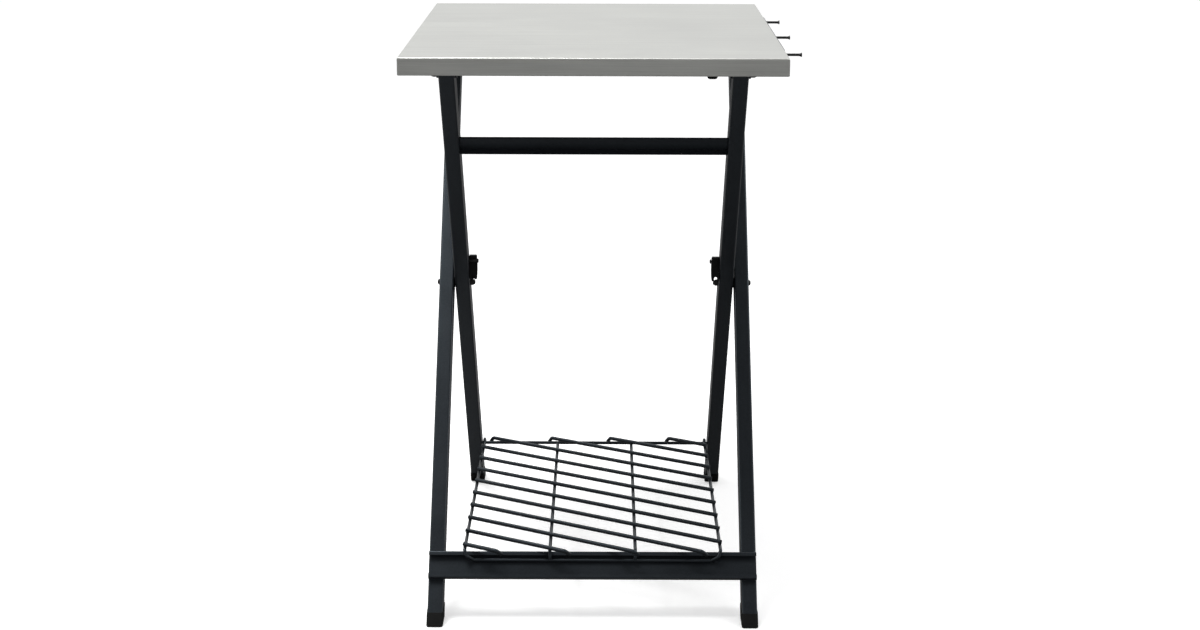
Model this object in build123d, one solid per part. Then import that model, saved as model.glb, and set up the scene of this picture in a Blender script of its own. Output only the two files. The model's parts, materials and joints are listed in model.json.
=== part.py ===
"""Folding side table: sheet-metal top on a pair of crossed leg frames, with a wire rack.

Millimetres, +Z up.  The origin lies on the floor, under the middle of the tabletop.
X runs across the table, the front is towards -Y, and the hook rail is on the +X side.
"""
from build123d import *
import math
import os

# ---- driving dimensions -----------------------------------------------------------------
TOP_WIDTH = 600.0
TOP_DEPTH = 800.0
TOP_HEIGHT = 929.0
FLANGE = 28.0
SHEET = 1.5
HEM = 12.0

LEAN = 37.775          # slope of every leg from the vertical, degrees
PIVOT_Z = 484.4        # height of the crossing bolts
TUBE_WIDTH = 25.0      # leg tube across the table
TUBE_DEPTH = 38.0      # leg tube in the folding plane
TUBE_WALL = 1.5
TUBE_RADIUS = 3.0
OUTER_X = 257.0        # centre of an outer leg
INNER_X = 229.3        # centre of an inner leg

HINGE_DROP = 31.0      # hinge line and cross rod below the top surface
FOLD_RANGE = 72.0      # degrees that the frames close by

RACK_X = 210.5         # side wires of the rack
RACK_WIRE_R = 2.8
SLAT_R = 3.4
SLAT_COUNT = 13
SLAT_PITCH = 68.4      # along the side wires
SLAT_SLOPE = -0.61     # y over x
RACK_TILT = 0.55       # the rack falls this many degrees to the rear

PEG_Y = (-231.0, 0.0, 231.0)
PEG_R = 2.15
PEG_LENGTH = 28.0
PEG_TIP_R = 3.6
PEG_FLARE = 4.0

# ---- worked out from those --------------------------------------------------------------
LEAN_SIN = math.sin(math.radians(LEAN))
LEAN_COS = math.cos(math.radians(LEAN))
HINGE_Z = TOP_HEIGHT - HINGE_DROP
LEG_REACH = (HINGE_Z - PIVOT_Z) / LEAN_COS     # pivot to hinge, and pivot to cross rod
HINGE_Y = -LEG_REACH * LEAN_SIN
FRONT = -TUBE_DEPTH / 2
SIDES = (("left", -1), ("right", 1))
NODES = {}


def keep(name, shape):
    """Store one named piece."""
    NODES[name] = shape


def pair(maker):
    """The same piece on both sides, as one group of separate solids."""
    return Compound(children=[maker(-1), maker(1)])


def box(x0, x1, y0, y1, z0, z1):
    """Box from its limits."""
    size = Box(abs(x1 - x0), y1 - y0, z1 - z0)
    return Pos((x0 + x1) / 2, (y0 + y1) / 2, (z0 + z1) / 2) * size


def bar_x(x0, x1, y, z, radius):
    """Round bar along X."""
    shape = Cylinder(radius, abs(x1 - x0), rotation=(0, 90, 0))
    return Pos((x0 + x1) / 2, y, z) * shape


def hex_x(x0, x1, y, z, across_flats):
    """Hexagonal prism along X."""
    outline = RegularPolygon(across_flats / 2, 6, major_radius=False)
    length = abs(x1 - x0)
    prism = Pos(0, 0, -length / 2) * extrude(outline, length)
    return Pos((x0 + x1) / 2, y, z) * (Rot(0, 90, 0) * prism)


def dome_x(x_face, side, y, z, radius, height):
    """Rounded head along X: its flat side on x_face, its crown towards side."""
    disc = bar_x(x_face, x_face + side * height, y, z, radius)
    rims = disc.edges().filter_by(GeomType.CIRCLE).sort_by(Axis.X)
    crown = rims[-1] if side > 0 else rims[0]
    return fillet(crown, 0.85 * min(radius, height))


def lean_outer(shape):
    """Set a piece that was drawn upright onto the outer frame's slope."""
    return shape.rotate(Axis((0, 0, PIVOT_Z), (1, 0, 0)), -LEAN)


def lean_inner(shape):
    """Set a piece that was drawn upright onto the inner frame's slope."""
    return shape.rotate(Axis((0, 0, PIVOT_Z), (1, 0, 0)), LEAN)


def on_outer(forward, up):
    """World y and z of a point of the outer frame: forward of its centre plane, up its legs."""
    y = up * LEAN_SIN - forward * LEAN_COS
    z = PIVOT_Z + up * LEAN_COS + forward * LEAN_SIN
    return y, z


def on_inner(forward, up):
    """World y and z of a point of the inner frame."""
    y = -up * LEAN_SIN - forward * LEAN_COS
    z = PIVOT_Z + up * LEAN_COS - forward * LEAN_SIN
    return y, z


def wire(points, radii, radius):
    """Bent round wire through points, with a bend radius at each inner corner."""
    path = FilletPolyline(*points, radius=radii)
    section = Plane(path @ 0, z_dir=path % 0) * Circle(radius)
    return sweep(section, path=path)


# ---- legs and feet ----------------------------------------------------------------------
TUBE_FLOOR = 5.0        # the tubes end this far above the floor, inside their caps
CAP_WALL = 1.0
CAP_TOP = 20.0          # level top edge of a foot cap
CAP_EDGE = 1.8
END_PLUG = 2.5
PLUG_SPIGOT = 4.0       # stops short of the bolt that crosses an inner leg
OUTER_TOP = LEG_REACH + 8.0
INNER_TOP = LEG_REACH + 11.5
LEG_BELOW = 700.0       # drawn past the floor, then cut off level


def section_solid(x, width, depth, radius, z0, z1):
    """Upright rounded rectangular prism."""
    outline = RectangleRounded(width, depth, radius)
    return Pos(x, 0, z0) * extrude(outline, z1 - z0)


def between(shape, z0, z1):
    """What is left of a shape between two levels."""
    return shape & box(-400, 400, -900, 900, z0, z1)


def leg(x, top, lean, hole_radius, end_hole_radius):
    """Hollow leg tube, cut level at its foot, with a hole at the pivot and at its top."""
    z0 = PIVOT_Z - LEG_BELOW
    z1 = PIVOT_Z + top
    tube = section_solid(x, TUBE_WIDTH, TUBE_DEPTH, TUBE_RADIUS, z0, z1)
    bore = section_solid(
        x,
        TUBE_WIDTH - 2 * TUBE_WALL,
        TUBE_DEPTH - 2 * TUBE_WALL,
        TUBE_RADIUS - TUBE_WALL,
        z0,
        z1,
    )
    tube = tube - bore
    tube = tube - bar_x(x - TUBE_WIDTH, x + TUBE_WIDTH, 0, PIVOT_Z, hole_radius)
    if end_hole_radius:
        tube = tube - bar_x(x - TUBE_WIDTH, x + TUBE_WIDTH, 0, PIVOT_Z + LEG_REACH, end_hole_radius)
    return between(lean(tube), TUBE_FLOOR, TOP_HEIGHT)


def foot_cap(x, lean):
    """Moulded foot that a leg stands in, flat on the floor and level at its rim."""
    width = TUBE_WIDTH + 2 * CAP_WALL
    depth = TUBE_DEPTH + 2 * CAP_WALL
    z0 = PIVOT_Z - LEG_BELOW
    block = section_solid(x, width, depth, TUBE_RADIUS + CAP_WALL, z0, PIVOT_Z)
    tube = section_solid(x, TUBE_WIDTH, TUBE_DEPTH, TUBE_RADIUS, z0, PIVOT_Z)
    cap = between(lean(block), 0, CAP_TOP)
    cap = cap - between(lean(tube), TUBE_FLOOR, 2 * CAP_TOP)
    floor_edges = cap.faces().sort_by(Axis.Z)[0].outer_wire().edges()
    return fillet(floor_edges, CAP_EDGE)


def end_plug(x, top, lean):
    """Moulded plug: a lid on the tube's end and a spigot inside it."""
    z1 = PIVOT_Z + top
    lid = section_solid(x, TUBE_WIDTH, TUBE_DEPTH, TUBE_RADIUS, z1, z1 + END_PLUG)
    lid = chamfer(lid.faces().sort_by(Axis.Z)[-1].outer_wire().edges(), 1.0)
    bore_width = TUBE_WIDTH - 2 * TUBE_WALL
    bore_depth = TUBE_DEPTH - 2 * TUBE_WALL
    spigot = section_solid(x, bore_width, bore_depth, TUBE_RADIUS - TUBE_WALL, z1 - PLUG_SPIGOT, z1)
    return lean(lid + spigot)


BOLT_R = 3.0
RUNNING = 0.05
BUSH_R = 5.0
FREE_HOLE_R = 3.1

for side_name, side in SIDES:
    keep(f"outer_leg_{side_name}", leg(side * OUTER_X, OUTER_TOP, lean_outer, FREE_HOLE_R, 0))
    keep(f"inner_leg_{side_name}", leg(side * INNER_X, INNER_TOP, lean_inner, BUSH_R, BUSH_R))
    keep(f"front_foot_{side_name}", foot_cap(side * OUTER_X, lean_outer))
    keep(f"rear_foot_{side_name}", foot_cap(side * INNER_X, lean_inner))
keep("outer_leg_plugs", pair(lambda side: end_plug(side * OUTER_X, OUTER_TOP, lean_outer)))
keep("inner_leg_plugs", pair(lambda side: end_plug(side * INNER_X, INNER_TOP, lean_inner)))

# ---- crossing bolts ---------------------------------------------------------------------
PIVOT_HEAD_R = 5.2
PIVOT_HEAD_HEIGHT = 4.6
NUT_FLATS = 10.0
NUT_HEIGHT = 5.0
NUT_GAP = 0.3
NUT_GRIP = 5.2           # how far a crossing bolt reaches into its cap nut
SPACER_R = 9.0
OUTER_FACE = OUTER_X + TUBE_WIDTH / 2
OUTER_INSIDE = OUTER_X - TUBE_WIDTH / 2
INNER_FACE = INNER_X + TUBE_WIDTH / 2
INNER_INSIDE = INNER_X - TUBE_WIDTH / 2


def pivot_bolt(side):
    """Domed bolt through both legs of one side."""
    head = dome_x(side * OUTER_FACE, side, 0, PIVOT_Z, PIVOT_HEAD_R, PIVOT_HEAD_HEIGHT)
    shank = bar_x(side * OUTER_FACE, side * (INNER_INSIDE - NUT_GRIP), 0, PIVOT_Z, BOLT_R)
    return head + shank


def pivot_nut(side):
    """Domed cap nut on the inner end of a crossing bolt."""
    face = INNER_INSIDE - NUT_GAP
    end = face - NUT_HEIGHT
    body = hex_x(side * face, side * end, 0, PIVOT_Z, NUT_FLATS)
    crown = dome_x(side * end, -side, 0, PIVOT_Z, 0.48 * NUT_FLATS, 0.36 * NUT_FLATS)
    socket = bar_x(side * face, side * (INNER_INSIDE - NUT_GRIP), 0, PIVOT_Z, BOLT_R)
    return body + crown - socket


def ring(side, x0, x1, y, z, outer, inner):
    """Washer or sleeve about an axis along X."""
    disc = bar_x(side * x0, side * x1, y, z, outer)
    return disc - bar_x(side * (x0 - 1), side * (x1 + 1), y, z, inner)


def pivot_spacer(side):
    """Washer that keeps an outer leg clear of its inner leg."""
    return ring(side, INNER_FACE + NUT_GAP, OUTER_INSIDE, 0, PIVOT_Z, SPACER_R, FREE_HOLE_R)


def pivot_bush(side):
    """Nylon sleeve in an inner leg, which turns on the crossing bolt."""
    return ring(side, INNER_INSIDE, INNER_FACE, 0, PIVOT_Z, BUSH_R, BOLT_R + RUNNING)


keep("pivot_bolts", pair(pivot_bolt))
keep("pivot_cap_nuts", pair(pivot_nut))
keep("pivot_spacers", pair(pivot_spacer))
keep("pivot_bushes", pair(pivot_bush))

# ---- outer frame: front channel and rear cross rod --------------------------------------
CHANNEL_DEPTH = 10.0
CHANNEL_HEIGHT = 45.5
CHANNEL_LIP = 7.0
CHANNEL_WALL = 1.5
CHANNEL_TOP = -500.1     # top edge, up the outer legs from the pivot
ROD_R = 7.0
ROD_WALL = 1.5


def front_channel():
    """Lipped channel across the fronts of the outer legs, open to the front."""
    z1 = PIVOT_Z + CHANNEL_TOP
    z0 = z1 - CHANNEL_HEIGHT
    y1 = FRONT
    y0 = FRONT - CHANNEL_DEPTH
    shell = box(-OUTER_FACE, OUTER_FACE, y0, y1, z0, z1)
    outer_edges = shell.edges().filter_by(Axis.X)
    front_edges = outer_edges.sort_by(Axis.Y)[:2]
    shell = fillet(front_edges, 2.2)
    wall = CHANNEL_WALL
    hollow = box(-OUTER_FACE - 1, OUTER_FACE + 1, y0 + wall, y1 - wall, z0 + wall, z1 - wall)
    lip = CHANNEL_LIP
    mouth = box(-OUTER_FACE - 1, OUTER_FACE + 1, y0 - 1, y0 + wall, z0 + lip, z1 - lip)
    return lean_outer(shell - hollow - mouth)


def cross_rod():
    """Round tube between the tops of the outer legs, which carries the rear of the top."""
    rod = bar_x(-OUTER_INSIDE, OUTER_INSIDE, 0, PIVOT_Z + LEG_REACH, ROD_R)
    bore = bar_x(-OUTER_INSIDE, OUTER_INSIDE, 0, PIVOT_Z + LEG_REACH, ROD_R - ROD_WALL)
    return lean_outer(rod - bore)


keep("front_channel", front_channel())
keep("rear_cross_rod", cross_rod())

# ---- inner frame: upper bar and rear rod ------------------------------------------------
UPPER_BAR_BOTTOM = 351.0     # bottom edge, up the inner legs from the pivot
UPPER_BAR_HEIGHT = 30.3
UPPER_BAR_SHELF = 11.0
UPPER_BAR_HEM = 3.0
REAR_ROD_R = 3.0
REAR_ROD_UP = -471.9
REAR_ROD_FORWARD = 14.5


def upper_bar():
    """Folded strip between the inner legs: a web, a shelf at its foot and a small hem on top."""
    wall = CHANNEL_WALL
    z0 = PIVOT_Z + UPPER_BAR_BOTTOM
    z1 = z0 + UPPER_BAR_HEIGHT
    y0 = FRONT + 0.5
    y1 = y0 + UPPER_BAR_SHELF
    x1 = INNER_INSIDE
    web = box(-x1, x1, y1 - wall, y1, z0, z1)
    shelf = box(-x1, x1, y0, y1, z0, z0 + wall)
    hem = box(-x1, x1, y1 - wall - UPPER_BAR_HEM, y1, z1 - wall, z1)
    bar = web + shelf + hem
    back_edges = bar.edges().filter_by(Axis.X).group_by(Axis.Y)[-1]
    return lean_inner(fillet(back_edges, 1.2))


keep("upper_bar", upper_bar())
REAR_ROD_Y, REAR_ROD_Z = on_inner(REAR_ROD_FORWARD, REAR_ROD_UP)
keep("rear_rod", bar_x(-INNER_INSIDE, INNER_INSIDE, REAR_ROD_Y, REAR_ROD_Z, REAR_ROD_R))

# ---- swinging rack clips ----------------------------------------------------------------
CLIP_UP = 58.0           # clip screw, up the inner legs from the pivot
CLIP_ABOVE = 8.0         # block above its screw
CLIP_BELOW = 34.0        # block below its screw
CLIP_THICK = 10.0
CLIP_INNER = 203.5
CLIP_SLOT = 5.8
CLIP_SLOT_DEPTH = 7.5
CLIP_BULGE = 1.0
SCREW_R = 2.0
CLIP_Y, CLIP_Z = on_inner(0, CLIP_UP)


def rack_clip(side):
    """Moulded fork that hangs from its screw inside an inner leg."""
    x_leg = side * (INNER_INSIDE - 0.3)
    x_in = side * CLIP_INNER
    x_mid = x_in - side * CLIP_BULGE
    z1 = CLIP_Z + CLIP_ABOVE
    z0 = CLIP_Z - CLIP_BELOW
    outline = Polyline((x_in, z0), (x_leg, z0), (x_leg, z1), (x_in, z1))
    belly = ThreePointArc((x_in, z1), (x_mid, (z0 + z1) / 2), (x_in, z0))
    face = make_face(Plane.XZ * Curve(children=[outline, belly]))
    block = Pos(0, CLIP_Y + CLIP_THICK / 2, 0) * extrude(face, CLIP_THICK)
    corners = block.edges().filter_by(Axis.Y)
    block = fillet(corners, 1.5)
    slot_x = side * RACK_X
    half = CLIP_SLOT / 2
    slot_top = z0 + CLIP_SLOT_DEPTH - half
    slot = box(slot_x - half, slot_x + half, CLIP_Y - 9, CLIP_Y + 9, z0 - 2, slot_top)
    crown = Pos(slot_x, CLIP_Y, slot_top) * Cylinder(half, 18, rotation=(90, 0, 0))
    hole = bar_x(side * 195, side * 220, CLIP_Y, CLIP_Z, SCREW_R + RUNNING)
    return block - slot - crown - hole


def clip_screw(side):
    """Pan-head screw that a clip swings on."""
    tip = side * (INNER_INSIDE + 9)
    head_face = side * (CLIP_INNER - CLIP_BULGE - 0.3)
    shank = bar_x(head_face, tip, CLIP_Y, CLIP_Z, SCREW_R)
    return shank + dome_x(head_face, -side, CLIP_Y, CLIP_Z, 3.9, 2.4)


def drilled_leg(side_name, side):
    """Inner leg with the hole that its clip screw goes into."""
    hole = bar_x(side * (INNER_INSIDE - 2), side * (INNER_INSIDE + 3), CLIP_Y, CLIP_Z, SCREW_R)
    return NODES[f"inner_leg_{side_name}"] - hole


for side_name, side in SIDES:
    keep(f"rack_clip_{side_name}", rack_clip(side))
    keep(f"inner_leg_{side_name}", drilled_leg(side_name, side))
keep("clip_screws", pair(clip_screw))

# ---- tabletop ---------------------------------------------------------------------------
UNDERSIDE = TOP_HEIGHT - SHEET
HALF_WIDTH = TOP_WIDTH / 2
HALF_DEPTH = TOP_DEPTH / 2
STIFFENER_X = 150.0
STIFFENER_WIDTH = 46.0
STIFFENER_DEPTH = 18.0
STIFFENER_WALL = 1.2
STIFFENER_HALF = 365.0
STIFFENER_FOOT = 9.0
RAIL_Z1 = TOP_HEIGHT - 7.0
RAIL_HEIGHT = 17.0
RAIL_HALF = 238.0
RAIL_GAP = 1.6
RAIL_THICK = 3.0
RIVET_Y = (-120.0, 120.0)
RIVET_R = 2.4
RIVET_HEAD_R = 4.0
RIVET_HEAD_HEIGHT = 1.6
PEG_Z = RAIL_Z1 - RAIL_HEIGHT / 2


def tabletop():
    """Folded tray: flat top, four flanges and a return hem."""
    z0 = TOP_HEIGHT - FLANGE
    tray = box(-HALF_WIDTH, HALF_WIDTH, -HALF_DEPTH, HALF_DEPTH, z0, TOP_HEIGHT)
    tray = fillet(tray.edges().filter_by(Axis.Z), 3.0)
    tray = fillet(tray.faces().sort_by(Axis.Z)[-1].outer_wire().edges(), 2.5)
    tray = fillet(tray.faces().sort_by(Axis.Z)[0].outer_wire().edges(), 1.4)
    inside = box(
        -HALF_WIDTH + SHEET,
        HALF_WIDTH - SHEET,
        -HALF_DEPTH + SHEET,
        HALF_DEPTH - SHEET,
        z0 + SHEET,
        UNDERSIDE,
    )
    inside = fillet(inside.edges().filter_by(Axis.Z), 1.5)
    inside = fillet(inside.faces().sort_by(Axis.Z)[-1].outer_wire().edges(), 1.0)
    mouth_x = HALF_WIDTH - HEM
    mouth_y = HALF_DEPTH - HEM
    mouth = box(-mouth_x, mouth_x, -mouth_y, mouth_y, z0 - 1, z0 + SHEET + 1)
    tray = tray - inside - mouth
    for y in RIVET_Y:
        tray = tray - bar_x(HALF_WIDTH - 4, HALF_WIDTH + 4, y, PEG_Z, RIVET_R)
    return tray


def stiffener(side):
    """Hat section under the top, front to back."""
    x0 = side * STIFFENER_X - STIFFENER_WIDTH / 2
    x1 = side * STIFFENER_X + STIFFENER_WIDTH / 2
    y0 = -STIFFENER_HALF
    y1 = STIFFENER_HALF
    foot = STIFFENER_FOOT
    wall = STIFFENER_WALL
    bottom = UNDERSIDE - STIFFENER_DEPTH
    crown = box(x0 + foot, x1 - foot, y0, y1, bottom, UNDERSIDE)
    crown = fillet(crown.edges().filter_by(Axis.Y).sort_by(Axis.Z)[:2], 2.0)
    hollow = box(x0 + foot + wall, x1 - foot - wall, y0 - 1, y1 + 1, bottom + wall, UNDERSIDE + 1)
    flanges = box(x0, x1, y0, y1, UNDERSIDE - wall, UNDERSIDE)
    return crown + flanges - hollow


keep("tabletop_panel", tabletop())
for side_name, side in SIDES:
    keep(f"stiffener_{side_name}", stiffener(side))

# ---- hinge brackets ---------------------------------------------------------------------
EAR = 3.0
EAR_GAP = 0.5
EAR_R = 11.0
BASE_HALF = 16.0
BRACKET_BASE = 2.5
HINGE_CAP_R = 9.3
HINGE_CAP_HEIGHT = 12.0
HINGE_NUT_HEIGHT = 6.0
HINGE_NUT_GRIP = 4.5
EAR_OUT = INNER_FACE + EAR_GAP + EAR
EAR_IN = INNER_INSIDE - EAR_GAP - EAR


def hinge_bracket(side):
    """Folded bracket whose two ears straddle the top of an inner leg."""
    base_z = UNDERSIDE - BRACKET_BASE
    front = HINGE_Y - BASE_HALF
    back = HINGE_Y + BASE_HALF
    bracket = box(side * EAR_IN, side * EAR_OUT, front, back, base_z, UNDERSIDE)
    for x0 in (EAR_IN, EAR_OUT - EAR):
        x1 = x0 + EAR
        plate = box(side * x0, side * x1, HINGE_Y - EAR_R, HINGE_Y + EAR_R, HINGE_Z, UNDERSIDE)
        ear = plate + bar_x(side * x0, side * x1, HINGE_Y, HINGE_Z, EAR_R)
        bracket = bracket + ear
    return bracket - bar_x(side * (EAR_IN - 1), side * (EAR_OUT + 1), HINGE_Y, HINGE_Z, FREE_HOLE_R)


def hinge_bolt(side):
    """Bolt through a bracket's ears and the leg between them, with a moulded cap."""
    cap = dome_x(side * EAR_OUT, side, HINGE_Y, HINGE_Z, HINGE_CAP_R, HINGE_CAP_HEIGHT)
    shank = bar_x(side * EAR_OUT, side * (EAR_IN - HINGE_NUT_GRIP), HINGE_Y, HINGE_Z, BOLT_R)
    return cap + shank


def hinge_nut(side):
    """Nut on the inner end of a hinge bolt."""
    nut = hex_x(side * EAR_IN, side * (EAR_IN - HINGE_NUT_HEIGHT), HINGE_Y, HINGE_Z, NUT_FLATS)
    return nut - bar_x(side * EAR_IN, side * (EAR_IN - HINGE_NUT_GRIP), HINGE_Y, HINGE_Z, BOLT_R)


def hinge_bush(side):
    """Nylon sleeve in the top of an inner leg."""
    return ring(side, INNER_INSIDE, INNER_FACE, HINGE_Y, HINGE_Z, BUSH_R, BOLT_R + RUNNING)


for side_name, side in SIDES:
    keep(f"hinge_bracket_{side_name}", hinge_bracket(side))
keep("hinge_bolts", pair(hinge_bolt))
keep("hinge_nuts", pair(hinge_nut))
keep("hinge_bushes", pair(hinge_bush))

# ---- rear saddles -----------------------------------------------------------------------
SADDLE_GAP = 0.3
SADDLE_HALF = 14.0
SADDLE_WIDTH = 24.0
SADDLE_STOP = 8.0
ROD_Y = -HINGE_Y


def saddle(side):
    """Moulded rest that sits on the cross rod, with a stop behind the rod."""
    x0 = side * STIFFENER_X - SADDLE_WIDTH / 2
    x1 = side * STIFFENER_X + SADDLE_WIDTH / 2
    top = UNDERSIDE - STIFFENER_DEPTH
    rest = HINGE_Z + ROD_R + SADDLE_GAP
    stop_y = ROD_Y + ROD_R + 0.5
    pad = box(x0, x1, ROD_Y - SADDLE_HALF, stop_y + SADDLE_STOP, rest, top)
    stop = box(x0, x1, stop_y, stop_y + SADDLE_STOP, HINGE_Z - 4.0, top)
    block = pad + stop
    nose = block.edges().filter_by(Axis.X).sort_by(Axis.Z)[:2]
    return fillet(nose, 2.0)


for side_name, side in SIDES:
    keep(f"rod_saddle_{side_name}", saddle(side))

# ---- release lever ----------------------------------------------------------------------
LEVER_X = 185.0
LEVER_Y = -335.0
LEVER_Z = TOP_HEIGHT - 12.0
LEVER_HALF = 8.0
LEVER_DROP = 28.5
LEVER_THICK = 4.0
LEVER_HUB_R = 4.5
CHEEK_OUT = 11.0          # outer faces of the bracket's cheeks from the lever's middle
CHEEK = 1.5
CHEEK_R = 6.0
CHEEK_BASE_HALF = 9.0
PIN_HEAD_R = 3.4
PIN_HEAD_HEIGHT = 1.6


def lever_bracket():
    """Small folded bracket under the top, which the release lever hangs from."""
    x0 = LEVER_X - CHEEK_OUT
    x1 = LEVER_X + CHEEK_OUT
    front = LEVER_Y - CHEEK_BASE_HALF
    back = LEVER_Y + CHEEK_BASE_HALF
    bracket = box(x0, x1, front, back, UNDERSIDE - CHEEK, UNDERSIDE)
    for left in (x0, x1 - CHEEK):
        right = left + CHEEK
        cheek = box(left, right, LEVER_Y - CHEEK_R, LEVER_Y + CHEEK_R, LEVER_Z, UNDERSIDE)
        bracket = bracket + cheek + bar_x(left, right, LEVER_Y, LEVER_Z, CHEEK_R)
    return bracket - bar_x(x0 - 1, x1 + 1, LEVER_Y, LEVER_Z, SCREW_R)


def lever_pin():
    """Riveted pin that the release lever turns on."""
    x0 = LEVER_X - CHEEK_OUT
    x1 = LEVER_X + CHEEK_OUT
    pin = bar_x(x0, x1, LEVER_Y, LEVER_Z, SCREW_R)
    left = dome_x(x0, -1, LEVER_Y, LEVER_Z, PIN_HEAD_R, PIN_HEAD_HEIGHT)
    right = dome_x(x1, 1, LEVER_Y, LEVER_Z, PIN_HEAD_R, PIN_HEAD_HEIGHT)
    return pin + left + right


def release_lever():
    """Finger lever with a hub on its pin and a rounded paddle."""
    hub_half = CHEEK_OUT - CHEEK - 0.5
    hub = bar_x(LEVER_X - hub_half, LEVER_X + hub_half, LEVER_Y, LEVER_Z, LEVER_HUB_R)
    x0 = LEVER_X - LEVER_HALF
    x1 = LEVER_X + LEVER_HALF
    half = LEVER_THICK / 2
    paddle = box(x0, x1, LEVER_Y - half, LEVER_Y + half, LEVER_Z - LEVER_DROP, LEVER_Z)
    corners = paddle.edges().filter_by(Axis.Y).sort_by(Axis.Z)[:2]
    lever = hub + fillet(corners, LEVER_HALF / 2)
    return lever - bar_x(x0 - LEVER_HALF, x1 + LEVER_HALF, LEVER_Y, LEVER_Z, SCREW_R + RUNNING)


keep("lever_bracket", lever_bracket())
keep("lever_pin", lever_pin())
keep("release_lever", release_lever())

# ---- hook rail --------------------------------------------------------------------------
RAIL_X0 = HALF_WIDTH + RAIL_GAP
RAIL_X1 = RAIL_X0 + RAIL_THICK


def hook_rail():
    """Flat strip beside the right flange."""
    strip = box(RAIL_X0, RAIL_X1, -RAIL_HALF, RAIL_HALF, RAIL_Z1 - RAIL_HEIGHT, RAIL_Z1)
    strip = fillet(strip.edges().filter_by(Axis.X), 2.5)
    for y in RIVET_Y:
        strip = strip - bar_x(RAIL_X0 - 1, RAIL_X1 + 1, y, PEG_Z, RIVET_R)
    return strip


def rail_rivet(y):
    """Rivet through the rail, its spacer and the flange."""
    inner_face = HALF_WIDTH - SHEET
    shank = bar_x(inner_face - 1, RAIL_X1 + 1, y, PEG_Z, RIVET_R)
    inner_head = dome_x(inner_face, -1, y, PEG_Z, RIVET_HEAD_R, RIVET_HEAD_HEIGHT)
    outer_head = dome_x(RAIL_X1, 1, y, PEG_Z, RIVET_HEAD_R, RIVET_HEAD_HEIGHT)
    return shank + inner_head + outer_head


def rail_spacer(y):
    """Washer between the rail and the flange."""
    return ring(1, HALF_WIDTH, RAIL_X0, y, PEG_Z, 5.5, RIVET_R)


def hook_peg(y):
    """Straight peg with a flared, dished end."""
    tip = RAIL_X1 + PEG_LENGTH
    neck = tip - PEG_FLARE
    depth = PEG_FLARE / 2
    shaft = bar_x(RAIL_X1, neck, y, PEG_Z, PEG_R)
    horn = Cone(PEG_R, PEG_TIP_R, PEG_FLARE, rotation=(0, 90, 0))
    horn = Pos(neck + PEG_FLARE / 2, y, PEG_Z) * horn
    dish = Cone(0.4, PEG_TIP_R - 0.5, depth, rotation=(0, 90, 0))
    dish = Pos(tip - depth / 2, y, PEG_Z) * dish
    return shaft + horn - dish


keep("hook_rail", hook_rail())
keep("rail_rivets", Compound(children=[rail_rivet(y) for y in RIVET_Y]))
keep("rail_spacers", Compound(children=[rail_spacer(y) for y in RIVET_Y]))
for peg_name, peg_y in zip(("front", "middle", "rear"), PEG_Y):
    keep(f"hook_peg_{peg_name}", hook_peg(peg_y))

# ---- wire rack --------------------------------------------------------------------------
# The rack hooks over the front channel's upper lip: its front rod lies inside the channel,
# and is the line that the rack swings about.  Its rear hooks lie over the rear rod.
LIP_Y, LIP_Z = on_outer(-FRONT + CHANNEL_DEPTH, CHANNEL_TOP)
AXLE_Y, AXLE_Z = on_outer(-FRONT + CHANNEL_DEPTH / 2, CHANNEL_TOP - 14.0)
REST_GAP = 0.3
SIDE_Z = LIP_Z + RACK_WIRE_R + REST_GAP         # side wires where they cross the lip
SLAT_Z = SIDE_Z + RACK_WIRE_R + SLAT_R
TILT_SLOPE = math.tan(math.radians(RACK_TILT))


def fall(y):
    """How far the rack's plane has dropped at y, below its height at the lip."""
    return (y - LIP_Y) * TILT_SLOPE


HOOK_OVER_Z = REAR_ROD_Z + REAR_ROD_R + RACK_WIRE_R + REST_GAP


HOOK_OUT = CHANNEL_DEPTH - FRONT + 4.4     # hooks pass this far forward of the outer legs' centre plane
HOOK_TURN_Y, HOOK_TURN_Z = on_outer(HOOK_OUT, CHANNEL_TOP - 1.2)
HOOK_DROP_Y, HOOK_DROP_Z = on_outer(HOOK_OUT, CHANNEL_TOP - 10.5)
RACK_WIDTH_BEND = 40.0                     # the front rod starts this far inside the side wires


def side_wire(side):
    """Side wire: rear hook, straight run, front hook and the bend into the front rod."""
    x = side * RACK_X
    crest_y = REAR_ROD_Y - 13.0
    points = [
        (x, REAR_ROD_Y + 8.5, REAR_ROD_Z - 3.5),
        (x, REAR_ROD_Y + 6.6, HOOK_OVER_Z),
        (x, REAR_ROD_Y - 4.0, HOOK_OVER_Z),
        (x, crest_y, SIDE_Z - fall(crest_y)),
        (x, HOOK_TURN_Y, SIDE_Z - fall(HOOK_TURN_Y)),
        (side * (RACK_X - 3.0), HOOK_DROP_Y, HOOK_DROP_Z),
        (side * (RACK_X - 15.0), AXLE_Y, AXLE_Z),
        (side * (RACK_X - RACK_WIDTH_BEND), AXLE_Y, AXLE_Z),
    ]
    return wire(points, [4.5, 4.0, 6.0, 5.0, 5.0, 6.0], RACK_WIRE_R)


def long_wire(side):
    """Front to back wire under the slats, with a hook at its front end only."""
    x = side * RACK_X / 3
    end_y, end_z = on_outer(CHANNEL_DEPTH / 2 - FRONT + 2 * RACK_WIRE_R + 0.1, CHANNEL_TOP - 15.0)
    back_y = REAR_ROD_Y - 8.0
    points = [
        (x, back_y, SIDE_Z - fall(back_y)),
        (x, HOOK_TURN_Y, SIDE_Z - fall(HOOK_TURN_Y)),
        (x, HOOK_DROP_Y, HOOK_DROP_Z),
        (x, end_y, end_z),
    ]
    return wire(points, [5.0, 2.0], RACK_WIRE_R)


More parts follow.
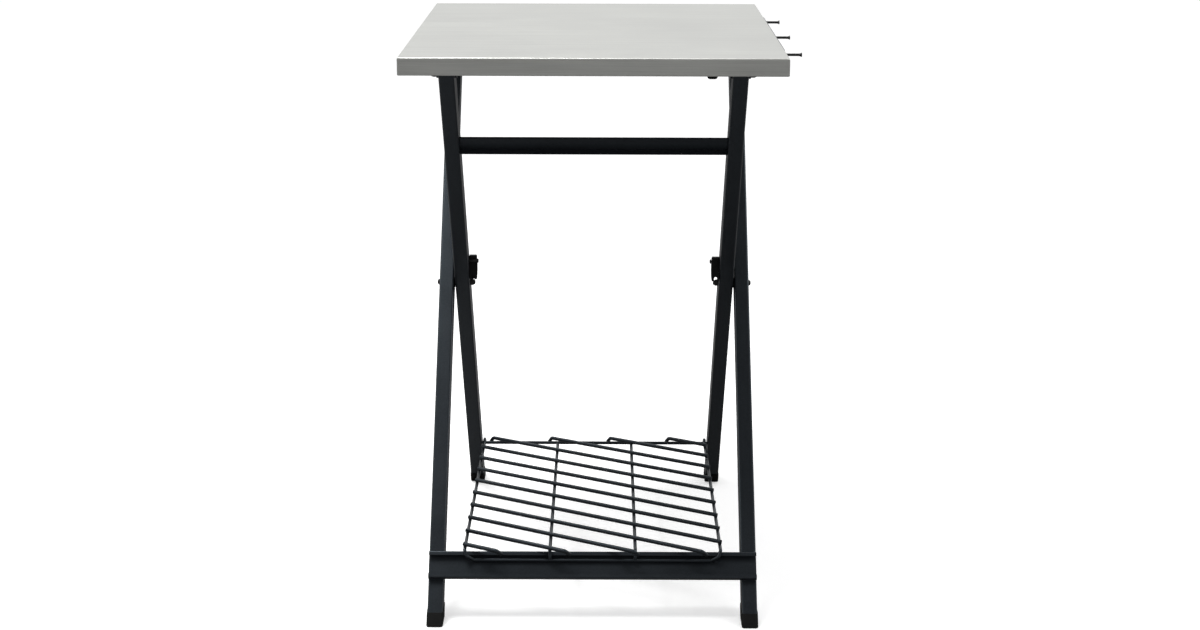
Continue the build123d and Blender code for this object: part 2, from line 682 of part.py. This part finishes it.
SLAT_FIRST = 369.5        # where the rearmost slat's line crosses x = 0
SLAT_END = RACK_X + 2.0
SLAT_REAR_Y = REAR_ROD_Y + 5.0
SLAT_FRONT_Y = LIP_Y - 26.0
SLAT_BEND = 4.2
SLAT_REAR_HOOK = (-5.0, 3.0, -7.5)
SLAT_FRONT_HOOK = (8.0, 6.0, -8.0)


def shifted(point, offset):
    """A point moved by an offset."""
    return tuple(a + b for a, b in zip(point, offset))


def slat(index):
    """Slanted slat; one that reaches the front or rear edge ends in a short hook."""
    crossing = SLAT_FIRST - SLAT_PITCH * index
    left_y = crossing - SLAT_SLOPE * SLAT_END
    right_y = crossing + SLAT_SLOPE * SLAT_END
    points = []
    radii = []
    if left_y > SLAT_REAR_Y:
        x = (SLAT_REAR_Y - crossing) / SLAT_SLOPE
        z = SLAT_Z - fall(SLAT_REAR_Y)
        points.append(shifted((x, SLAT_REAR_Y, z), SLAT_REAR_HOOK))
        points.append((x, SLAT_REAR_Y, z))
        radii.append(SLAT_BEND)
    else:
        points.append((-SLAT_END, left_y, SLAT_Z - fall(left_y)))
    if right_y < SLAT_FRONT_Y:
        x = (SLAT_FRONT_Y - crossing) / SLAT_SLOPE
        z = SLAT_Z - fall(SLAT_FRONT_Y)
        points.append((x, SLAT_FRONT_Y, z))
        points.append(shifted((x, SLAT_FRONT_Y, z), SLAT_FRONT_HOOK))
        radii.append(SLAT_BEND)
    else:
        points.append((SLAT_END, right_y, SLAT_Z - fall(right_y)))
    if radii:
        return wire(points, radii, SLAT_R)
    path = Line(points[0], points[1])
    return sweep(Plane(path @ 0, z_dir=path % 0) * Circle(SLAT_R), path=path)


for side_name, side in SIDES:
    keep(f"rack_side_wire_{side_name}", side_wire(side))
    keep(f"rack_long_wire_{side_name}", long_wire(side))
ROD_END = RACK_X - RACK_WIDTH_BEND
keep("rack_front_rod", bar_x(-ROD_END, ROD_END, AXLE_Y, AXLE_Z, RACK_WIRE_R))
for number in range(SLAT_COUNT):
    keep(f"rack_slat_{number + 1:02d}", slat(number))

# ---- output -----------------------------------------------------------------------------
os.makedirs("parts", exist_ok=True)
for name, shape in NODES.items():
    export_step(shape, f"parts/{name}.step")

print("nodes", len(NODES))
print("hinge line", round(HINGE_Y, 3), round(HINGE_Z, 3))
print("rack axle", round(AXLE_Y, 3), round(AXLE_Z, 3))
print("clip screw", round(CLIP_Y, 3), round(CLIP_Z, 3))
print("lever pin", LEVER_X, LEVER_Y, LEVER_Z)
print("peg height", PEG_Z)
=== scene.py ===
"""Looks of the folding side table: materials, weld beads, lights, floor and camera."""
import json
import math

import bmesh
import bpy
from mathutils import Matrix, Vector


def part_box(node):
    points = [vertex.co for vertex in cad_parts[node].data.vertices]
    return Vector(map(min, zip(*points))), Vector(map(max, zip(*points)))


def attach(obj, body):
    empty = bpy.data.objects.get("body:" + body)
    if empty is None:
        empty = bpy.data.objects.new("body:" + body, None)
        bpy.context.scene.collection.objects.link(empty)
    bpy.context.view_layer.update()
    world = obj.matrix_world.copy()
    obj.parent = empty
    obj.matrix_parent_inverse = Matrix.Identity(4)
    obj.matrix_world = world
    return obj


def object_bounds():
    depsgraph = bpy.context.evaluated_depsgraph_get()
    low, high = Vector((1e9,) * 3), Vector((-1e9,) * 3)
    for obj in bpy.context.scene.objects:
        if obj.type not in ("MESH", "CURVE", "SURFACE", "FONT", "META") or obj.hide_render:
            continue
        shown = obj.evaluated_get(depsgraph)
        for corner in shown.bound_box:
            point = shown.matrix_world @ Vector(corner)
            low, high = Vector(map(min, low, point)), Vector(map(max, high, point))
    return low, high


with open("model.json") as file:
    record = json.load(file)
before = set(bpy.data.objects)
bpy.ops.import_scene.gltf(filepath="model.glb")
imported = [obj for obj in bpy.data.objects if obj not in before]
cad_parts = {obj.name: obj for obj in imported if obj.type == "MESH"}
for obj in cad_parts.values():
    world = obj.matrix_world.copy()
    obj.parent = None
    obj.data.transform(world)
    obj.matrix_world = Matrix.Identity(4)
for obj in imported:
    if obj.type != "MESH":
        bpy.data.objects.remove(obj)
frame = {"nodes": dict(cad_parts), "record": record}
cad_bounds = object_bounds()

MM = 0.001
NOISE_LOW = 0.3
NOISE_HIGH = 0.7


# ---- small helpers ----------------------------------------------------------------------
def new_object(name, mesh_maker, body, material):
    """A piece built in the CAD frame by mesh_maker, riding on one CAD body."""
    mesh = bpy.data.meshes.new(name)
    builder = bmesh.new()
    mesh_maker(builder)
    builder.to_mesh(mesh)
    builder.free()
    for polygon in mesh.polygons:
        polygon.use_smooth = True
    piece = bpy.data.objects.new(name, mesh)
    bpy.context.scene.collection.objects.link(piece)
    mesh.materials.append(material)
    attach(piece, body)
    return piece


class Nodes:
    """Short way to write a node tree."""

    def __init__(self, tree):
        self.tree = tree
        tree.nodes.clear()

    def add(self, kind, inputs=None, **settings):
        """A node with its settings, and its inputs set to values or linked to sockets."""
        node = self.tree.nodes.new(kind)
        for key, value in settings.items():
            setattr(node, key, value)
        for key, value in (inputs or {}).items():
            if isinstance(value, bpy.types.NodeSocket):
                self.tree.links.new(value, node.inputs[key])
            else:
                node.inputs[key].default_value = value
        return node


def grey(level, tint=(1.0, 1.0, 1.0)):
    """Linear colour of a tinted grey."""
    return (level * tint[0], level * tint[1], level * tint[2], 1.0)


def ramp(nodes, factor, stops):
    """Colour ramp through (position, colour) stops."""
    node = nodes.add("ShaderNodeValToRGB", {"Fac": factor})
    elements = node.color_ramp.elements
    while len(elements) < len(stops):
        elements.new(0.5)
    for element, (position, colour) in zip(elements, stops):
        element.position = position
        element.color = colour
    return node.outputs["Color"]


def noise(nodes, vector, scale, detail=3.0, roughness=0.55):
    """Noise value at a scale per metre."""
    inputs = {"Vector": vector, "Scale": scale, "Detail": detail, "Roughness": roughness}
    return nodes.add("ShaderNodeTexNoise", inputs).outputs["Fac"]


def map_range(nodes, value, start, end, low, high):
    """Map start..end of a value onto low..high."""
    inputs = {"Value": value, "From Min": start, "From Max": end, "To Min": low, "To Max": high}
    return nodes.add("ShaderNodeMapRange", inputs).outputs["Result"]


def spread(nodes, value, low, high):
    """Map the range that most of a noise value lies in onto low..high."""
    return map_range(nodes, value, NOISE_LOW, NOISE_HIGH, low, high)


def combine(nodes, operation, first, second):
    """Result of a maths operation on two value sockets."""
    node = nodes.add("ShaderNodeMath", operation=operation)
    nodes.tree.links.new(first, node.inputs[0])
    nodes.tree.links.new(second, node.inputs[1])
    return node.outputs["Value"]


def multiply(nodes, first, second, factor):
    """First colour times the second, by a factor."""
    node = nodes.add("ShaderNodeMix", {"Factor": factor}, data_type="RGBA", blend_type="MULTIPLY")
    nodes.tree.links.new(first, node.inputs[6])
    nodes.tree.links.new(second, node.inputs[7])
    return node.outputs[2]


def bump(nodes, height, distance, strength):
    """Bump normal; distance is in metres."""
    inputs = {"Height": height, "Distance": distance, "Strength": strength}
    return nodes.add("ShaderNodeBump", inputs).outputs["Normal"]


def by_ray(nodes, seen, lighting):
    """Shader that is one thing to the camera and another to all other rays."""
    choice = nodes.add("ShaderNodeMixShader")
    camera_ray = nodes.add("ShaderNodeLightPath").outputs["Is Camera Ray"]
    nodes.tree.links.new(camera_ray, choice.inputs["Fac"])
    nodes.tree.links.new(lighting, choice.inputs[1])
    nodes.tree.links.new(seen, choice.inputs[2])
    return choice.outputs["Shader"]


def start_material(name):
    """Empty material, its node helper and the object-space coordinate."""
    material = bpy.data.materials.new(name)
    material.use_nodes = True
    nodes = Nodes(material.node_tree)
    place = nodes.add("ShaderNodeTexCoord").outputs["Object"]
    return material, nodes, place


def finish_material(material, nodes, inputs):
    """Close a material with a Principled shader."""
    shader = nodes.add("ShaderNodeBsdfPrincipled", inputs)
    nodes.add("ShaderNodeOutputMaterial", {"Surface": shader.outputs["BSDF"]})
    return material


# ---- materials --------------------------------------------------------------------------
STEEL_TINT = (1.0, 1.01, 0.965)
GRAIN_SCALE = (6.0, 900.0, 900.0)
BAND_SCALE = (2.0, 120.0, 120.0)
SMUDGES_PER_METRE = 5.0


def brushed_sheet():
    """Stainless sheet brushed across the table, with light smudges."""
    material, nodes, place = start_material("brushed_sheet")
    fine = nodes.add("ShaderNodeMapping", {"Vector": place, "Scale": GRAIN_SCALE})
    grain = noise(nodes, fine.outputs["Vector"], 1.0, 4.0, 0.7)
    coarse = nodes.add("ShaderNodeMapping", {"Vector": place, "Scale": BAND_SCALE})
    bands = noise(nodes, coarse.outputs["Vector"], 1.0, 3.0, 0.6)
    smudge = noise(nodes, place, SMUDGES_PER_METRE, 4.0, 0.6)
    tone = ramp(nodes, spread(nodes, grain, 0.0, 1.0), (
        (0.0, grey(0.53, STEEL_TINT)),
        (1.0, grey(0.66, STEEL_TINT)),
    ))
    shade = ramp(nodes, spread(nodes, bands, 0.0, 1.0), ((0.0, grey(0.86)), (1.0, grey(1.0))))
    cloud = ramp(nodes, spread(nodes, smudge, 0.0, 1.0), ((0.0, grey(0.93)), (1.0, grey(1.0))))
    banded = multiply(nodes, tone, shade, 0.6)
    grain_roughness = spread(nodes, grain, 0.30, 0.40)
    smudge_roughness = spread(nodes, smudge, -0.02, 0.05)
    return finish_material(material, nodes, {
        "Base Color": multiply(nodes, banded, cloud, 1.0),
        "Metallic": 0.94,
        "Roughness": combine(nodes, "ADD", grain_roughness, smudge_roughness),
        "Normal": bump(nodes, grain, 0.00002, 0.35),
    })


COAT_SHEEN = (0.74, 0.88, 1.0)
PEEL_PER_METRE = 1400.0
DUST_PER_METRE = 9.0
SPECKS_PER_METRE = 420.0
EDGE_START = 0.53
EDGE_FULL = 0.60


def powder_coat(name, level, tint, roughness, edge_wear_and_highlight):
    """Satin powder coat: fine orange peel, dust in patches, and convex edges painted lighter in
    specks, partly as rubbed wear and partly as a painted edge highlight.
    """
    material, nodes, place = start_material(name)
    peel = noise(nodes, place, PEEL_PER_METRE, 2.0, 0.5)
    patches = noise(nodes, place, DUST_PER_METRE, 5.0, 0.6)
    specks = noise(nodes, place, SPECKS_PER_METRE, 2.0, 0.5)
    base = ramp(nodes, spread(nodes, patches, 0.0, 1.0), (
        (0.0, grey(level * 0.85, tint)),
        (1.0, grey(level * 1.2, tint)),
    ))
    # Convex edges get a lighter coat colour, broken into specks: partly rubbed wear, partly a
    # painted highlight where light catches the rounded corners.
    edge = nodes.add("ShaderNodeNewGeometry").outputs["Pointiness"]
    rubbed_and_lit_edges = map_range(nodes, edge, EDGE_START, EDGE_FULL, 0.0, edge_wear_and_highlight)
    speckled_wear_and_highlight = combine(nodes, "MULTIPLY", rubbed_and_lit_edges, spread(nodes, specks, 0.0, 1.0))
    worn_and_highlit_coat = nodes.add("ShaderNodeMix", data_type="RGBA")
    nodes.tree.links.new(speckled_wear_and_highlight, worn_and_highlit_coat.inputs[0])
    nodes.tree.links.new(base, worn_and_highlit_coat.inputs[6])
    worn_and_highlit_coat.inputs[7].default_value = grey(level * 3.0, tint)
    return finish_material(material, nodes, {
        "Base Color": worn_and_highlit_coat.outputs[2],
        "Roughness": spread(nodes, patches, roughness - 0.04, roughness + 0.05),
        "Normal": bump(nodes, peel, 0.00004, 0.30),
        "Specular IOR Level": 0.5,
        "Specular Tint": grey(1.0, COAT_SHEEN),
    })


SPARKS_PER_METRE = 2200.0
FLOW_PER_METRE = 30.0


def moulded_plastic():
    """Black nylon moulding with a fine spark-eroded texture."""
    material, nodes, place = start_material("moulded_plastic")
    texture = noise(nodes, place, SPARKS_PER_METRE, 3.0, 0.6)
    flow = noise(nodes, place, FLOW_PER_METRE, 4.0, 0.6)
    base = ramp(nodes, spread(nodes, flow, 0.0, 1.0), ((0.0, grey(0.004)), (1.0, grey(0.008))))
    return finish_material(material, nodes, {
        "Base Color": base,
        "Roughness": spread(nodes, texture, 0.48, 0.62),
        "Specular IOR Level": 0.12,
        "Normal": bump(nodes, texture, 0.00006, 0.4),
    })


TURNING_SCALE = (3000.0, 200.0, 200.0)
MOTTLES_PER_METRE = 160.0


def black_steel():
    """Blackened fastener steel with faint turning marks."""
    material, nodes, place = start_material("black_steel")
    turned = nodes.add("ShaderNodeMapping", {"Vector": place, "Scale": TURNING_SCALE})
    marks = noise(nodes, turned.outputs["Vector"], 1.0, 2.0, 0.5)
    patches = noise(nodes, place, MOTTLES_PER_METRE, 4.0, 0.6)
    base = ramp(nodes, spread(nodes, patches, 0.0, 1.0), ((0.0, grey(0.014)), (1.0, grey(0.030))))
    return finish_material(material, nodes, {
        "Base Color": base,
        "Metallic": 0.6,
        "Roughness": spread(nodes, patches, 0.30, 0.45),
        "Normal": bump(nodes, marks, 0.00003, 0.3),
    })


COAT_TINT = (0.88, 0.98, 1.16)
MATERIALS = {
    "top_sheet": brushed_sheet(),
    # The last argument sets how much convex edges are painted lighter: rubbed wear together with a
    # painted edge highlight.
    "powder_coat": powder_coat("powder_coat", 0.008, COAT_TINT, 0.33, 0.5),
    "rack_wire": powder_coat("wire_coat", 0.006, COAT_TINT, 0.36, 0.3),
    "moulded_black": moulded_plastic(),
    "black_fasteners": black_steel(),
}

for entry in frame["record"]["subparts"]:
    node = frame["nodes"][entry["node"]]
    node.data.materials.clear()
    node.data.materials.append(MATERIALS[entry["material_slot"]])


# ---- weld beads on the rack -------------------------------------------------------------
BEAD_R = 2.1 * MM
BEAD_STRETCH = (1.5, 1.2, 1.0, 1.0)
BEAD_SUBDIVISIONS = 2
END_LENGTH = 5 * MM
FRONT_HOOKS = 4
SLATS = sorted(name for name in frame["nodes"] if name.startswith("rack_slat_"))
HOOKED_AT_FRONT = SLATS[-FRONT_HOOKS:]
STRAIGHT_SLAT = SLATS[len(SLATS) // 2]
WIRES = (
    "rack_side_wire_left",
    "rack_long_wire_left",
    "rack_long_wire_right",
    "rack_side_wire_right",
)


def end_ring(slat_name, side):
    """Centre and radius of a slat's end at its left (-1) or right (1)."""
    vertices = [v.co for v in frame["nodes"][slat_name].data.vertices]
    tip = max(side * v.x for v in vertices)
    ring = [v for v in vertices if side * v.x > tip - END_LENGTH]
    middle = sum(ring, Vector()) / len(ring)
    radius = (max(v.z for v in ring) - min(v.z for v in ring)) / 2
    return middle, radius


LEFT_END, _ = end_ring(STRAIGHT_SLAT, -1)
RIGHT_END, SLAT_R = end_ring(STRAIGHT_SLAT, 1)
ALONG_SLAT = (RIGHT_END - LEFT_END) / (RIGHT_END.x - LEFT_END.x)


def wire_axis_x(wire_node):
    """Where the long straight run of a front to back wire lies across the rack."""
    low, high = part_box(wire_node)
    if "side" not in wire_node:
        return (low.x + high.x) / 2
    inner_wire_low, inner_wire_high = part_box("rack_long_wire_left")
    radius = (inner_wire_high.x - inner_wire_low.x) / 2
    return low.x + radius if high.x < 0 else high.x - radius


def weld_points(wire_node):
    """Points where slats lie on a front to back wire."""
    x = wire_axis_x(wire_node)
    low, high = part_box(wire_node)
    points = []
    for slat_name in SLATS:
        slat_low, slat_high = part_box(slat_name)
        straight_end = -1 if slat_name in HOOKED_AT_FRONT else 1
        anchor, _ = end_ring(slat_name, straight_end)
        point = anchor + ALONG_SLAT * (x - anchor.x)
        on_slat = slat_low.x - MM < x < slat_high.x + MM
        on_wire = low.y < point.y < high.y
        if on_slat and on_wire:
            points.append(point - Vector((0.0, 0.0, SLAT_R)))
    return points


def bead_maker(points):
    """Mesh maker: one small flattened bead at each point."""
    def make(builder):
        for point in points:
            bmesh.ops.create_icosphere(
                builder,
                subdivisions=BEAD_SUBDIVISIONS,
                radius=BEAD_R,
                matrix=Matrix.Translation(point) @ Matrix.Diagonal(BEAD_STRETCH),
            )
    return make


for wire_node in WIRES:
    make_beads = bead_maker(weld_points(wire_node))
    new_object(f"welds_{wire_node}", make_beads, "rack", MATERIALS["rack_wire"])


# ---- floor, lights and world ------------------------------------------------------------
FLOOR_HALF = 30.0
FLOOR_DROP = 0.2 * MM


def pale_floor():
    """Large floor, pale to the camera and dull in the object's own light and reflections."""
    mesh = bpy.data.meshes.new("floor")
    builder = bmesh.new()
    bmesh.ops.create_grid(builder, x_segments=1, y_segments=1, size=FLOOR_HALF)
    builder.to_mesh(mesh)
    builder.free()
    floor = bpy.data.objects.new("floor", mesh)
    bpy.context.scene.collection.objects.link(floor)
    floor.location = (0.0, 0.0, cad_bounds[0][2] - FLOOR_DROP)
    material = bpy.data.materials.new("floor_paper")
    material.use_nodes = True
    nodes = Nodes(material.node_tree)
    paper = nodes.add("ShaderNodeBsdfDiffuse", {"Color": grey(0.82)})
    lift = nodes.add("ShaderNodeEmission", {"Color": grey(1.0), "Strength": 0.42})
    seen = nodes.add("ShaderNodeAddShader")
    nodes.tree.links.new(paper.outputs["BSDF"], seen.inputs[0])
    nodes.tree.links.new(lift.outputs["Emission"], seen.inputs[1])
    dull = nodes.add("ShaderNodeBsdfDiffuse", {"Color": grey(0.20)})
    surface = by_ray(nodes, seen.outputs["Shader"], dull.outputs["BSDF"])
    nodes.add("ShaderNodeOutputMaterial", {"Surface": surface})
    mesh.materials.append(material)


HIGH_START = 0.35
HIGH_FULL = 0.60


def studio_world():
    """White to the camera. To other rays: bright walls, with a dim patch high in front."""
    world = bpy.data.worlds.new("studio")
    bpy.context.scene.world = world
    world.use_nodes = True
    nodes = Nodes(world.node_tree)
    direction = nodes.add("ShaderNodeTexCoord").outputs["Generated"]
    parts = nodes.add("ShaderNodeSeparateXYZ", {"Vector": direction})
    low_wall = map_range(nodes, parts.outputs["Y"], -0.25, 0.25, 0.68, 0.86)
    high_wall = map_range(nodes, parts.outputs["Y"], -0.60, 0.10, 0.06, 1.0)
    height = map_range(nodes, parts.outputs["Z"], HIGH_START, HIGH_FULL, 0.0, 1.0)
    strength = nodes.add("ShaderNodeMix", {"Factor": height}, data_type="FLOAT")
    nodes.tree.links.new(low_wall, strength.inputs[2])
    nodes.tree.links.new(high_wall, strength.inputs[3])
    room = nodes.add("ShaderNodeBackground", {"Color": grey(1.0), "Strength": strength.outputs[0]})
    plain = nodes.add("ShaderNodeBackground", {"Color": grey(1.0), "Strength": 1.0})
    surface = by_ray(nodes, plain.outputs["Background"], room.outputs["Background"])
    nodes.add("ShaderNodeOutputWorld", {"Surface": surface})


TARGET = (0.0, 0.0, 0.5)
SOFTBOXES = (
    ("key_overhead", (-1.2, -0.3, 4.2), 1.8, 138.0),
    ("key_right", (2.2, -0.6, 3.2), 1.2, 16.0),
    ("fill_left", (-3.6, 0.6, 1.8), 1.6, 12.0),
    ("rim_right", (3.4, 1.0, 1.8), 1.4, 14.0),
)


def softbox(name, place, size, watts):
    """Square area light at place, aimed at the middle of the table."""
    lamp = bpy.data.lights.new(name, "AREA")
    lamp.shape = "SQUARE"
    lamp.size = size
    lamp.energy = watts
    holder = bpy.data.objects.new(name, lamp)
    bpy.context.scene.collection.objects.link(holder)
    holder.location = place
    holder.rotation_euler = (Vector(TARGET) - Vector(place)).to_track_quat("-Z", "Y").to_euler()


pale_floor()
studio_world()
for name, place, size, watts in SOFTBOXES:
    softbox(name, place, size, watts)


# ---- camera -----------------------------------------------------------------------------
FOCAL = 64.763
SENSOR = 36.0
FAR_CLIP = 100.0
PITCH = 0.2462
YAW = -0.0020
ROLL = -0.0029
EYE = (0.01775, -3.6819, 1.3505)


def photo_camera():
    """Camera at the height and distance that give the table's perspective."""
    forward = Vector((
        math.sin(YAW) * math.cos(PITCH),
        math.cos(YAW) * math.cos(PITCH),
        -math.sin(PITCH),
    ))
    level = Vector((math.cos(YAW), -math.sin(YAW), 0.0))
    down = forward.cross(level)
    right = level * math.cos(ROLL) + down * math.sin(ROLL)
    low = down * math.cos(ROLL) - level * math.sin(ROLL)
    lens = bpy.data.cameras.new("camera")
    lens.sensor_fit = "HORIZONTAL"
    lens.sensor_width = SENSOR
    lens.lens = FOCAL
    lens.clip_end = FAR_CLIP
    camera = bpy.data.objects.new("camera", lens)
    bpy.context.scene.collection.objects.link(camera)
    turn = Matrix((right, -low, -forward)).transposed().to_4x4()
    camera.matrix_world = Matrix.Translation(EYE) @ turn
    bpy.context.scene.camera = camera


photo_camera()
bpy.context.scene.view_settings.view_transform = "Standard"
